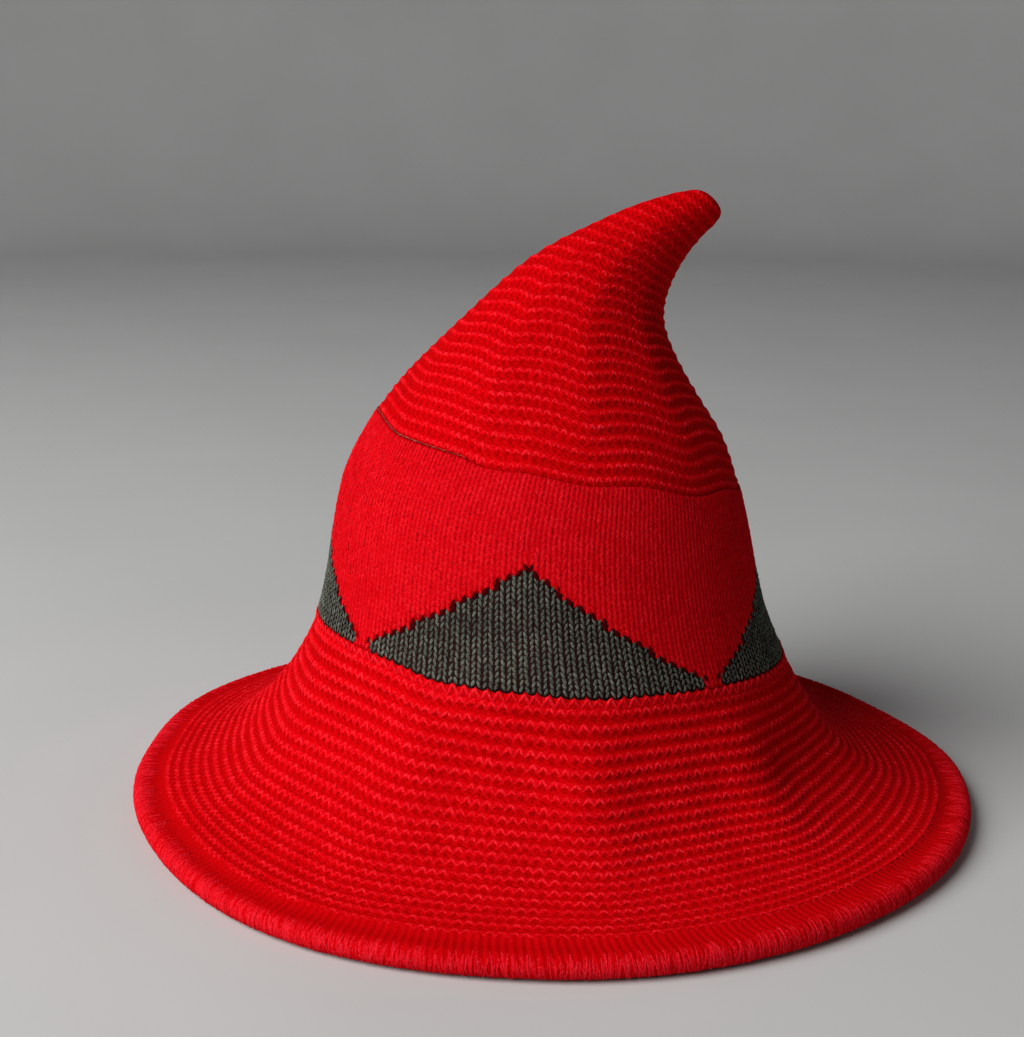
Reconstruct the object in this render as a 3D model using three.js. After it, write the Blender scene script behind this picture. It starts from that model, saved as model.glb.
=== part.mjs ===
// Knitted wizard hat: a ridged peak, a plain band with four panels set into it, a ridged brim and a rolled hem.
// Sizes are in millimetres and degrees. +Z is up, the hat rests on z = 0 and its front faces -Y.
// Angles run round the hat from the front, through +X.
import * as THREE from "three";

// Cloth
const ridgedWall = 4.0; // from the top of a ridge to the inside
const plainWall = 3.0;
const ridgeHeight = 1.3;
const seamGap = 0.3; // left between neighbouring pieces

// Counts of the knitting
const brimRidges = 20;
const brimCrowd = 0.17; // share by which ridges lie closer at the lower end, and wider at the upper one
const peakRidges = 28;
const peakCrowd = 0.12;
const sectors = 10; // the increases and decreases make ten sides
const sectorTurn = 8.5; // angle of the first corner

// Panels
const panels = 4;
const panelTurn = -3.75; // angle of the middle of the front panel
const panelRise = 39; // length of cloth from the base of a panel to its point
const panelHalfWidth = 43.2; // angle from the middle of a panel to the end of its base
const panelEndRise = 1.4; // a panel stops where it is this low

// Rolled hem
const hemRadius = 166; // outermost point of the hat
const hemHeight = 9.6;
const hemRoll = 4.8; // radius of the outer half of the roll
const footWidth = 5; // of the flat ring that rests on the floor

// Facets: brim and hem share their columns, so that their edges match
const brimColumns = 50;
const peakColumns = 30;
const panelColumns = 10;

// The rounds of the cloth, from the edge of the brim up to the tip.
// x, y and z place the middle of a round. roll drops its right side and lean drops its back.
// facet is the share of ten-sidedness, and dip is how far the ridges drop at the ten corners.
// wave is how far the cloth drops under the panels, and wander is the share of the rim's unevenness.
const roundTable = [
  ["name", "x", "y", "z", "radius", "roll", "lean", "facet", "dip", "wave", "wander"],
  ["brimEdge", 0, 0, 10.8, 153.2, 0, 0, 0, 0, 0, 1],
  ["brimLow", 0, 0, 14.4, 139, 0.3, 0.1, 0.35, 0, 0, 0.7],
  ["brimMid", -0.3, 0, 20.8, 125, 0.9, 0.3, 0.8, 0, 0.3, 0.35],
  ["brimUpper", -0.6, 0, 33, 110.5, 2.2, 0.6, 1, 0, 0.7, 0.1],
  ["brimHigh", 0, 0, 49, 100, 3.4, 1, 0.7, 0, 1.3, 0],
  ["joint", -0.8, 0, 66.6, 91.5, 4.2, 1.5, 0, 0, 1.4, 0],
  ["bandLow", -2.2, 0.5, 82, 86.6, 4.9, 2, 0, 0, 1.2, 0],
  ["bandMid", -3.1, 1.2, 99, 83.1, 5.8, 2.5, 0, 0, 0.6, 0],
  ["bandHigh", -2.6, 2.1, 117.5, 79.3, 7.6, 3, 0, 0, 0.2, 0],
  ["purl", 0.6, 3.1, 136.8, 71.9, 9.9, 3.5, 0, 0, 0, 0],
  ["peakLow", 2.7, 4.4, 153.5, 62.7, 9.8, 5, 0.3, 2.4, 0, 0],
  ["peak2", 3.4, 5.7, 167.5, 51.5, 9.8, 7, 0.45, 3, 0, 0],
  ["peak3", 5.3, 7.4, 180, 41.5, 10.5, 9.5, 0.45, 2.8, 0, 0],
  ["peak4", 9.1, 9.5, 191.2, 33.4, 13, 12.5, 0.4, 2.4, 0, 0],
  ["peak5", 14.5, 11.4, 199.3, 28.4, 17, 15, 0.35, 2, 0, 0],
  ["peak6", 21.1, 13.2, 206, 24, 21, 16.5, 0.3, 1.6, 0, 0],
  ["peak7", 29.1, 15.1, 212.6, 19.4, 25.5, 17.5, 0.2, 1.2, 0, 0],
  ["peak8", 38, 17.1, 219.2, 15.3, 30.5, 18, 0.1, 0.6, 0, 0],
  ["peak9", 46.5, 18.7, 224.3, 11.9, 35.6, 18, 0, 0, 0, 0],
  ["tipBase", 54, 19.9, 228, 9.1, 40, 18, 0, 0, 0, 0],
  ["tipDome", 57.9, 20.5, 230, 6.4, 43, 18, 0, 0, 0, 0],
  ["tip", 59.6, 20.8, 230.8, 0.6, 44, 18, 0, 0, 0, 0],
];

// How far the rim stands out from a circle, by angle.
const wanderTable = [
  ["angle", "out"],
  [-180, 0],
  [-140, -1],
  [-112, 3],
  [-90, 0],
  [-65, 0],
  [-30, 2.8],
  [0, 0],
  [40, -1.4],
  [65, 0],
  [90, 0],
  [120, -6.5],
  [145, -8],
  [180, 0],
];
const hollowEnd = "peak9"; // the hollow of the peak stops at this round

const degree = Math.PI / 180;

// Turns a table with a row of column names into a list of objects.
function namedRows([columns, ...rows]) {
  return rows.map((row) => Object.fromEntries(columns.map((name, k) => [name, row[k]])));
}
const rounds = namedRows(roundTable);
const wanders = namedRows(wanderTable);
const sizeNames = roundTable[0].slice(1);

// How far the rim stands out at an angle, eased between the rows of its table.
function rimWander(angle) {
  const turned = angle - 360 * Math.floor((angle + 180) / 360);
  let i = 0;
  while (i < wanders.length - 2 && turned > wanders[i + 1].angle) i += 1;
  const from = wanders[i];
  const to = wanders[i + 1];
  const t = (turned - from.angle) / (to.angle - from.angle);
  return from.out + (to.out - from.out) * t * t * (3 - 2 * t);
}

// Where an angle lies on its side of the ten: -1 and 1 are corners, 0 is the middle.
function alongSide(angle) {
  const turns = ((angle - sectorTurn) * sectors) / 360;
  return 2 * (turns - Math.floor(turns)) - 1;
}

// Reach of a ten-sided round at an angle, over its mean reach.
const sideHalf = Math.PI / sectors;
const meanReach = Math.log(Math.tan(Math.PI / 4 + sideHalf / 2)) / sideHalf;
function tenSided(angle) {
  return 1 / Math.cos(alongSide(angle) * sideHalf) / meanReach;
}

// A point of a round: its middle, plus its radius along two axes tilted by roll and lean.
function roundPoint(round, angle) {
  const sides = 1 + Math.max(round.facet, 0) * (tenSided(angle) - 1);
  const reach = round.radius * sides + round.wander * rimWander(angle);
  const right = reach * Math.sin(angle * degree);
  const front = reach * Math.cos(angle * degree);
  const roll = round.roll * degree;
  const lean = round.lean * degree;
  return new THREE.Vector3(
    round.x + right * Math.cos(roll),
    round.y - front * Math.cos(lean),
    round.z - right * Math.sin(roll) + front * Math.sin(lean),
  );
}

// Mean length of cloth from the edge of the brim to each round.
const lengthAt = {};
const lengths = rounds.map(() => 0);
rounds.forEach((round, i) => {
  if (i > 0) {
    let sum = 0;
    for (let angle = 0; angle < 360; angle += 15)
      sum += roundPoint(round, angle).distanceTo(roundPoint(rounds[i - 1], angle));
    lengths[i] = lengths[i - 1] + sum / 24;
  }
  lengthAt[round.name] = lengths[i];
});

// Rate of change of one size at a round, weighted between its two neighbours.
function rateOf(name, i) {
  const last = rounds.length - 1;
  const step = (a, b) => (rounds[b][name] - rounds[a][name]) / (lengths[b] - lengths[a]);
  if (i === 0) return step(0, 1);
  if (i === last) return step(last - 1, last);
  const before = lengths[i] - lengths[i - 1];
  const after = lengths[i + 1] - lengths[i];
  return (step(i - 1, i) * after + step(i, i + 1) * before) / (before + after);
}
const rates = rounds.map((round, i) => Object.fromEntries(sizeNames.map((name) => [name, rateOf(name, i)])));

// The round at any length of cloth, by a cubic between the two nearest rounds of the table.
function roundAt(length) {
  let i = 0;
  while (i < rounds.length - 2 && length > lengths[i + 1]) i += 1;
  const span = lengths[i + 1] - lengths[i];
  const t = (length - lengths[i]) / span;
  const round = {};
  for (const name of sizeNames)
    round[name] =
      rounds[i][name] * (1 + 2 * t) * (1 - t) ** 2 +
      rates[i][name] * span * t * (1 - t) ** 2 +
      rounds[i + 1][name] * t * t * (3 - 2 * t) +
      rates[i + 1][name] * span * t * t * (t - 1);
  return round;
}

// A point of the outer face: the cloth drops at the ten corners and under the middle of each panel.
function facePoint(length, angle) {
  const round = roundAt(length);
  const dip = round.dip * (alongSide(angle) ** 2 - 1 / 3);
  const wave = round.wave * Math.cos(panels * (angle - panelTurn) * degree);
  return roundPoint(roundAt(length - dip - wave), angle);
}

// A point under the outer face, at a depth along the normal there.
function clothPoint(length, angle, depth) {
  const point = facePoint(length, angle);
  if (depth === 0) return point;
  const low = Math.max(length - 0.4, 0);
  const high = Math.min(length + 0.4, lengthAt.tip);
  const up = facePoint(high, angle).sub(facePoint(low, angle));
  const round = facePoint(length, angle + 0.6).sub(facePoint(length, angle - 0.6));
  return point.addScaledVector(round.cross(up).normalize(), -depth);
}

// Even angles all round, with a column on every corner.
function evenAngles(count) {
  return Array.from({ length: count }, (_, k) => sectorTurn + (360 * k) / count);
}

// Even steps from one value to another, both included.
function steps(from, to, count) {
  return Array.from({ length: count + 1 }, (_, k) => from + ((to - from) * k) / count);
}

// Collects points and faces, and turns them into a named mesh.
class Surface {
  constructor() {
    this.positions = [];
    this.faces = [];
  }
  add(point) {
    this.positions.push(point.x, point.y, point.z);
    return this.positions.length / 3 - 1;
  }
  row(points) {
    return points.map((point) => this.add(point));
  }
  // Quads between two rows, the second one further along the cloth.
  strip(low, high, closed) {
    const count = closed ? low.length : low.length - 1;
    for (let k = 0; k < count; k += 1) {
      const next = (k + 1) % low.length;
      this.faces.push(low[k], low[next], high[next], low[k], high[next], high[k]);
    }
  }
  // Triangles from a row to a point further along the cloth.
  fan(row, pole) {
    row.forEach((corner, k) => this.faces.push(corner, row[(k + 1) % row.length], pole));
  }
  mesh(name, material) {
    const geometry = new THREE.BufferGeometry();
    geometry.setAttribute("position", new THREE.Float32BufferAttribute(this.positions, 3));
    geometry.setIndex(this.faces);
    geometry.computeVertexNormals();
    const mesh = new THREE.Mesh(geometry, material);
    mesh.name = name;
    return mesh;
  }
}

// Rows of a ridged face: valleys at whole ridges and crests between them.
function ridgeRows(from, to, count, crowd) {
  return steps(0, 1, 2 * count).map((share, k) => ({
    length: from + (to - from) * (share - crowd * share * (1 - share)),
    depth: k % 2 === 0 ? ridgeHeight : 0,
  }));
}

// A ring of cloth: rows up the outer face and down the inner one, closed on themselves.
function ringOf(angles, rows) {
  const surface = new Surface();
  const made = rows.map((row) => surface.row(angles.map((angle, k) => row(angle, k))));
  made.forEach((row, k) => surface.strip(row, made[(k + 1) % made.length], true));
  return surface;
}

const red = new THREE.MeshStandardMaterial({ color: 0xb70d14, roughness: 0.95, metalness: 0 });
const grey = new THREE.MeshStandardMaterial({ color: 0x4b4c46, roughness: 0.95, metalness: 0 });
const hat = new THREE.Group();
hat.name = "wizard_hat";

// Brim
function makeBrim() {
  const top = lengthAt.joint - seamGap / 2;
  const outer = ridgeRows(0, top, brimRidges, brimCrowd);
  const inner = steps(top, 0, 4).map((length) => ({ length, depth: ridgedWall }));
  const rows = [...outer, ...inner].map(
    ({ length, depth }) => (angle) => clothPoint(length, angle, depth),
  );
  return ringOf(evenAngles(brimColumns), rows).mesh("brim", red);
}

// Rolled hem: a closed outline carried round the same columns as the brim.
// It runs along its foot, up round the roll, over the seam with the brim and back down inside.
function makeHem() {
  const edge = rounds[0];
  const middle = hemRadius - hemRoll;
  const roll = [-58, -28, 0, 28, 58, 90].map((turn) => [
    middle + hemRoll * Math.cos(turn * degree),
    hemHeight / 2 + (hemHeight / 2) * Math.sin(turn * degree),
  ]);
  const outline = [[middle - footWidth, 0], [middle, 0], ...roll, [middle - 3.4, hemHeight - 0.5], [edge.radius + 3, edge.z - 2.6]];
  const outer = outline.map(([radius, z]) => (angle) => roundPoint({ ...edge, z, radius }, angle));
  const seam = [ridgeHeight, ridgedWall].map((depth) => (angle) => clothPoint(-seamGap, angle, depth));
  const inside = (angle) => roundPoint({ ...edge, z: 3.2, radius: edge.radius + 1.6 }, angle);
  return ringOf(evenAngles(brimColumns), [...outer, ...seam, inside]).mesh("rolled_hem", red);
}

// Length of cloth from the joint up to the edge of a panel, at an angle from the middle of that panel.
function panelEdge(offset) {
  return Math.max(0, panelRise * (1 - Math.abs(offset) / panelHalfWidth));
}

// Angles from the middle of a panel, from its left end to its right end.
function panelOffsets() {
  const end = panelHalfWidth * (1 - panelEndRise / panelRise);
  return steps(-end, end, panelColumns);
}

// Band: its lower edge runs along the joint and climbs over the four panels.
function makeBand() {
  const bottom = lengthAt.joint + seamGap / 2;
  const top = lengthAt.purl - seamGap / 2;
  const offsets = [-panelHalfWidth, ...panelOffsets(), panelHalfWidth];
  const angles = [];
  const edges = [];
  for (let k = 0; k < panels; k += 1)
    for (const offset of offsets) {
      angles.push(panelTurn + (360 / panels) * k + offset);
      edges.push(bottom + panelEdge(offset));
    }
  const shares = steps(0, 1, 4);
  const outer = shares.map((share) => (angle, k) => clothPoint(edges[k] + (top - edges[k]) * share, angle, 0));
  const inner = shares
    .map((share) => (angle, k) => clothPoint(edges[k] + (top - edges[k]) * share, angle, plainWall))
    .reverse();
  return ringOf(angles, [...outer, ...inner]).mesh("band", red);
}

// Panel: a triangle of the band's wall, with a gap all round it.
function makePanel(name, turn) {
  const bottom = lengthAt.joint + seamGap / 2;
  const slope = Math.atan2(panelRise, panelHalfWidth * degree * roundAt(bottom).radius);
  const under = seamGap / Math.cos(slope);
  const shares = steps(0, 1, 4);
  const surface = new Surface();
  const face = (depth) =>
    shares.map((share) =>
      surface.row(
        panelOffsets().map((offset) => {
          const rise = panelEdge(offset) - under;
          return clothPoint(bottom + rise * share, turn + offset, depth);
        }),
      ),
    );
  const outer = face(0);
  const inner = face(plainWall);
  const loop = [...outer, ...inner.reverse()];
  loop.forEach((row, k) => surface.strip(row, loop[(k + 1) % loop.length], false));
  const ends = [0, panelColumns];
  for (const end of ends)
    for (let k = 0; k < shares.length - 1; k += 1) {
      const quad = [outer[k][end], outer[k + 1][end], inner[shares.length - 2 - k][end], inner[shares.length - 1 - k][end]];
      if (end === 0) surface.faces.push(quad[0], quad[1], quad[2], quad[0], quad[2], quad[3]);
      else surface.faces.push(quad[0], quad[2], quad[1], quad[0], quad[3], quad[2]);
    }
  return surface.mesh(name, grey);
}

// Peak: down the inside from the end of the hollow, round the lower edge and up the ridged outside to the tip.
function makePeak() {
  const angles = evenAngles(peakColumns);
  const bottom = lengthAt.purl + seamGap / 2;
  const surface = new Surface();
  const lastValley = lengthAt.tip - (lengthAt.tip - bottom) / (2 * peakRidges);
  const outside = ridgeRows(bottom, lastValley, peakRidges, peakCrowd);
  const inside = steps(lengthAt[hollowEnd], bottom, 6).map((length) => ({ length, depth: ridgedWall }));
  const rows = [...inside, ...outside].map(({ length, depth }) =>
    surface.row(angles.map((angle) => clothPoint(length, angle, Math.min(depth, 0.45 * roundAt(length).radius)))),
  );
  for (let k = 0; k < rows.length - 1; k += 1) surface.strip(rows[k], rows[k + 1], true);
  const tip = rounds[rounds.length - 1];
  const hollow = rounds.find((round) => round.name === hollowEnd);
  surface.fan(rows[rows.length - 1], surface.add(new THREE.Vector3(tip.x, tip.y, tip.z)));
  const inmost = surface.add(new THREE.Vector3(hollow.x, hollow.y, hollow.z));
  surface.fan([...rows[0]].reverse(), inmost);
  return surface.mesh("peak", red);
}

hat.add(makePeak());
hat.add(makeBand());
hat.add(makePanel("panel_front", panelTurn));
hat.add(makePanel("panel_right", panelTurn + 90));
hat.add(makePanel("panel_back", panelTurn + 180));
hat.add(makePanel("panel_left", panelTurn + 270));
hat.add(makeBrim());
hat.add(makeHem());

export default hat;
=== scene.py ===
import math

import bpy
import numpy as np
from mathutils import Matrix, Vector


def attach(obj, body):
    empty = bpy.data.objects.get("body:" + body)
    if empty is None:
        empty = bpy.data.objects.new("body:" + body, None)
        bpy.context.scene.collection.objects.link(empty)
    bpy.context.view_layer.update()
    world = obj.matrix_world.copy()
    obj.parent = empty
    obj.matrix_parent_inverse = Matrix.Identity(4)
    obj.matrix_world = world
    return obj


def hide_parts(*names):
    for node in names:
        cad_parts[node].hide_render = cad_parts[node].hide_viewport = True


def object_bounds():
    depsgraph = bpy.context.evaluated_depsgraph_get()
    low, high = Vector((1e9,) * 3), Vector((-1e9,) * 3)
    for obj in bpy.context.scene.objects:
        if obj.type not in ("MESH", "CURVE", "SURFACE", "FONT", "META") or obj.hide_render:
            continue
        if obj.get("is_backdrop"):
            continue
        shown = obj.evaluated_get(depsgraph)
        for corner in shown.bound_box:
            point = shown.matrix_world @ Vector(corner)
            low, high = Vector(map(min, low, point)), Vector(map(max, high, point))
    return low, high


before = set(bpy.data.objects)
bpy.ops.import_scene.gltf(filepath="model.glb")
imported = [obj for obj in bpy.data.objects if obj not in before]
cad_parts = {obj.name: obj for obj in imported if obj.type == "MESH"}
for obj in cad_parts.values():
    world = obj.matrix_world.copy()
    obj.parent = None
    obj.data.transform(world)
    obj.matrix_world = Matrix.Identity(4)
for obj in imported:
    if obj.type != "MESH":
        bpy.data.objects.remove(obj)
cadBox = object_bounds()
rng = np.random.default_rng(11)
mm = 0.001  # the cloth is worked out in millimetres, and its meshes are in metres

# Camera
cameraSizes = {
    "place": (0, -0.6447, 0.2727),
    "yaw": -1.449,
    "pitch": 14.316,
    "roll": 0.726,
    "lens": 59.15,
    "sensor": 36,
    "nearest": 0.01,
}


# Puts an object with its data into the scene.
def addObject(name, data):
    item = bpy.data.objects.new(name, data)
    bpy.context.scene.collection.objects.link(item)
    return item


# Turns and moves an object, with its three axes and its place as the columns of its matrix.
def placeObject(item, *columns):
    matrix = np.eye(4)
    matrix[:3] = np.stack(columns, axis=1)
    item.matrix_world = Matrix(matrix.tolist())


# View axes: forward from yaw and pitch, then right and up turned about it by roll.
def makeCamera(sizes):
    yaw, pitch, roll = [math.radians(sizes[name]) for name in ("yaw", "pitch", "roll")]
    forward = np.array([math.sin(yaw) * math.cos(pitch), math.cos(yaw) * math.cos(pitch), -math.sin(pitch)])
    level = np.array([math.cos(yaw), -math.sin(yaw), 0])
    upright = np.cross(level, forward)
    right = level * math.cos(roll) + upright * math.sin(roll)
    up = upright * math.cos(roll) - level * math.sin(roll)
    data = bpy.data.cameras.new("camera")
    data.lens = sizes["lens"]
    data.sensor_width = sizes["sensor"]
    data.clip_start = sizes["nearest"]
    camera = addObject("camera", data)
    placeObject(camera, right, up, -forward, sizes["place"])
    bpy.context.scene.camera = camera


makeCamera(cameraSizes)
print("camera done")

# Cloth
# Rounds from the edge of the brim to the tip, in millimetres and degrees, as in the solids.
# Columns: x, y, z, radius, roll, lean, facet, dip, wave, wander.
roundTable = np.array([
    [0, 0, 10.8, 153.2, 0, 0, 0, 0, 0, 1],
    [0, 0, 14.4, 139, 0.3, 0.1, 0.35, 0, 0, 0.7],
    [-0.3, 0, 20.8, 125, 0.9, 0.3, 0.8, 0, 0.3, 0.35],
    [-0.6, 0, 33, 110.5, 2.2, 0.6, 1, 0, 0.7, 0.1],
    [0, 0, 49, 100, 3.4, 1, 0.7, 0, 1.3, 0],
    [-0.8, 0, 66.6, 91.5, 4.2, 1.5, 0, 0, 1.4, 0],
    [-2.2, 0.5, 82, 86.6, 4.9, 2, 0, 0, 1.2, 0],
    [-3.1, 1.2, 99, 83.1, 5.8, 2.5, 0, 0, 0.6, 0],
    [-2.6, 2.1, 117.5, 79.3, 7.6, 3, 0, 0, 0.2, 0],
    [0.6, 3.1, 136.8, 71.9, 9.9, 3.5, 0, 0, 0, 0],
    [2.7, 4.4, 153.5, 62.7, 9.8, 5, 0.3, 2.4, 0, 0],
    [3.4, 5.7, 167.5, 51.5, 9.8, 7, 0.45, 3, 0, 0],
    [5.3, 7.4, 180, 41.5, 10.5, 9.5, 0.45, 2.8, 0, 0],
    [9.1, 9.5, 191.2, 33.4, 13, 12.5, 0.4, 2.4, 0, 0],
    [14.5, 11.4, 199.3, 28.4, 17, 15, 0.35, 2, 0, 0],
    [21.1, 13.2, 206, 24, 21, 16.5, 0.3, 1.6, 0, 0],
    [29.1, 15.1, 212.6, 19.4, 25.5, 17.5, 0.2, 1.2, 0, 0],
    [38, 17.1, 219.2, 15.3, 30.5, 18, 0.1, 0.6, 0, 0],
    [46.5, 18.7, 224.3, 11.9, 35.6, 18, 0, 0, 0, 0],
    [54, 19.9, 228, 9.1, 40, 18, 0, 0, 0, 0],
    [57.9, 20.5, 230, 6.4, 43, 18, 0, 0, 0, 0],
    [59.6, 20.8, 230.8, 0.6, 44, 18, 0, 0, 0, 0],
])
zColumn, radiusColumn, dipColumn, waveColumn = 2, 3, 7, 8
# Rows at the joint with the brim, the seam over the band, the end of the hollow and the tip.
namedRows = [5, 9, 18, 21]
# How far the rim stands out from a circle, by angle.
wanderTable = np.array([
    [-180, 0], [-140, -1], [-112, 3], [-90, -0.7], [-65, -1.2], [-30, 2.8], [0, 0],
    [40, -1.4], [65, 0], [90, 0], [120, -6.5], [145, -8], [180, 0],
])
# How far the cloth is drawn down at the joint with the brim and at the seam over the band, by angle.
# The solids leave both lines even, because their neighbours share those edges.
jointTable = np.array([
    [-180, 0.3], [-75, 0.3], [-54, 0.7], [-39, 0.7], [-26, 1.7], [-15, 0.4], [-5, -0.6], [7, -0.2],
    [14, 0.2], [24, 0.1], [34, 0.6], [50, 0.6], [75, 0.2], [180, 0.3],
])
purlTable = np.array([
    [-180, 0], [-110, -0.8], [-75, -2.4], [-52, 0.8], [-35, 0.7], [-29, 0.8], [-21, 2.1], [-15, 1.8],
    [-8, 0.8], [8, 1.4], [26, -0.8], [45, 1.4], [63, -0.8], [81, 1.4], [110, 0], [180, 0],
])
# How much of each of the ten corners shows, by angle.
cornerTable = np.array([[-180, 0.8], [-110, 0.5], [-70, 0.35], [-40, 1], [50, 1], [80, 0.7], [180, 0.8]])
cloth = {
    "sectors": 10,
    "sectorTurn": 8.5,  # angle of the first of the ten corners
    "panels": 4,
    "panelTurn": -3.75,  # angle of the middle of the front panel
    "panelRise": 39,
    "panelHalfWidth": 43.2,
    "seamGap": 0.3,
    "jointReach": 14,  # how far from its line the cloth is drawn down
    "purlReach": 24,
    "dipShare": 0.85,  # how much of the dip at the ten corners shows
    "lowest": -3.0,  # length to which the face goes on below the edge of the brim
    "lengthStep": 0.4,  # steps either way over which slopes are taken
    "angleStep": 0.6,
}


# Value at an angle, eased with 3t^2 - 2t^3 between the rows of a table.
def valueAt(table, angle):
    turned = np.mod(angle + 180, 360) - 180
    i = np.clip(np.searchsorted(table[:, 0], turned, side="right") - 1, 0, len(table) - 2)
    t = (turned - table[i, 0]) / (table[i + 1, 0] - table[i, 0])
    return table[i, 1] + (table[i + 1, 1] - table[i, 1]) * t * t * (3 - 2 * t)


# How near an angle is to one of the ten corners: s^2 - 1/3, s being -1 and 1 at the corners of a side,
# by the first two cosines of its series, which round the corners off, and weaker where the table says so.
def cornerPull(angle):
    turn = np.radians((angle - cloth["sectorTurn"]) * cloth["sectors"])
    return valueAt(cornerTable, angle) * 4 / math.pi ** 2 * (np.cos(turn) + np.cos(2 * turn) / 4)


# Point of a round: its middle plus its reach along two axes tilted by roll and lean.
def roundPoint(sizes, angle):
    x, y, z, radius, roll, lean, facet, dip, wave, wander = np.moveaxis(sizes, -1, 0)
    # a side that is flat reaches 1 / cos of its angle, which is about 1 + angle^2 / 2
    flatness = np.maximum(facet, 0) * (math.pi / cloth["sectors"]) ** 2 / 2
    reach = radius * (1 + flatness * cornerPull(angle)) + wander * valueAt(wanderTable, angle)
    right = reach * np.sin(np.radians(angle))
    front = reach * np.cos(np.radians(angle))
    roll, lean = np.radians(roll), np.radians(lean)
    across = x + right * np.cos(roll)
    back = y - front * np.cos(lean)
    up = z - right * np.sin(roll) + front * np.sin(lean)
    return np.stack(np.broadcast_arrays(across, back, up), axis=-1)


tableAngles = np.arange(0, 360, 15)
tablePoints = roundPoint(roundTable[:, None, :], tableAngles[None, :])
tableSteps = np.linalg.norm(np.diff(tablePoints, axis=0), axis=2).mean(axis=1)
lengths = np.concatenate([[0], np.cumsum(tableSteps)])
jointLength, purlLength, hollowLength, tipLength = lengths[namedRows]
slopes = np.diff(roundTable, axis=0) / tableSteps[:, None]
before, after = tableSteps[:-1, None], tableSteps[1:, None]
rates = np.vstack([slopes[:1], (slopes[:-1] * after + slopes[1:] * before) / (before + after), slopes[-1:]])


# Round at any length of cloth, by a cubic between the two nearest rows of the table.
def roundAt(length):
    i = np.clip(np.searchsorted(lengths, length, side="left") - 1, 0, len(lengths) - 2)
    span = (lengths[i + 1] - lengths[i])[..., None]
    t = (length - lengths[i])[..., None] / span
    low = roundTable[i] * (1 + 2 * t) * (1 - t) ** 2 + rates[i] * span * t * (1 - t) ** 2
    high = roundTable[i + 1] * t * t * (3 - 2 * t) + rates[i + 1] * span * t * t * (t - 1)
    return low + high


# Point of the outer face: the cloth drops at the ten corners and under each panel,
# and near its two seams by their tables times exp(-(distance / reach)^2).
def facePoint(length, angle):
    sizes = roundAt(length)
    dip = cloth["dipShare"] * sizes[..., dipColumn] * cornerPull(angle)
    wave = sizes[..., waveColumn] * np.cos(np.radians(cloth["panels"] * (angle - cloth["panelTurn"])))
    joint = valueAt(jointTable, angle) * np.exp(-((length - jointLength) / cloth["jointReach"]) ** 2)
    purl = valueAt(purlTable, angle) * np.exp(-((length - purlLength) / cloth["purlReach"]) ** 2)
    return roundPoint(roundAt(length - dip - wave - joint - purl), angle)


# Vectors scaled to a length of 1.
def unit(vectors):
    return vectors / np.maximum(np.linalg.norm(vectors, axis=-1, keepdims=True), 1e-9)


# Point and outward normal of a face, the normal being the cross product of its two slopes.
def faceFrame(face, length, angle, lowest, highest):
    length, angle = np.broadcast_arrays(np.asarray(length, float), np.asarray(angle, float))
    step, turn = cloth["lengthStep"], cloth["angleStep"]
    up = face(np.minimum(length + step, highest), angle) - face(np.maximum(length - step, lowest), angle)
    around = face(length, angle + turn) - face(length, angle - turn)
    return face(length, angle), unit(np.cross(around, up))


# Point and outward normal of the cloth.
def clothFrame(length, angle):
    return faceFrame(facePoint, length, angle, cloth["lowest"], tipLength)


# Point at a depth under the outer face, along the normal.
def clothPoint(length, angle, depth):
    point, out = clothFrame(length, angle)
    return point - np.asarray(depth)[..., None] * out


# Smooth unevenness round the hat: a sum of cosines with seeded sizes and phases, over the angle.
def uneven(angle, size, waves=7):
    order = np.arange(1, waves + 1)
    share = rng.normal(0, 1, waves) / np.sqrt(waves)
    phase = rng.uniform(0, 2 * math.pi, waves)
    return size * np.sum(share * np.cos(np.radians(np.asarray(angle)[..., None]) * order + phase), axis=-1)


print("cloth done")


# Meshes
plainTone = 0.5  # tone of a wall, where each stitch has its own
edgeShadeTone = 2  # tone that marks the stitches beside the panels, dark with painted shade
sharpAngle = 105  # edges that turn further than this stay sharp


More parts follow.
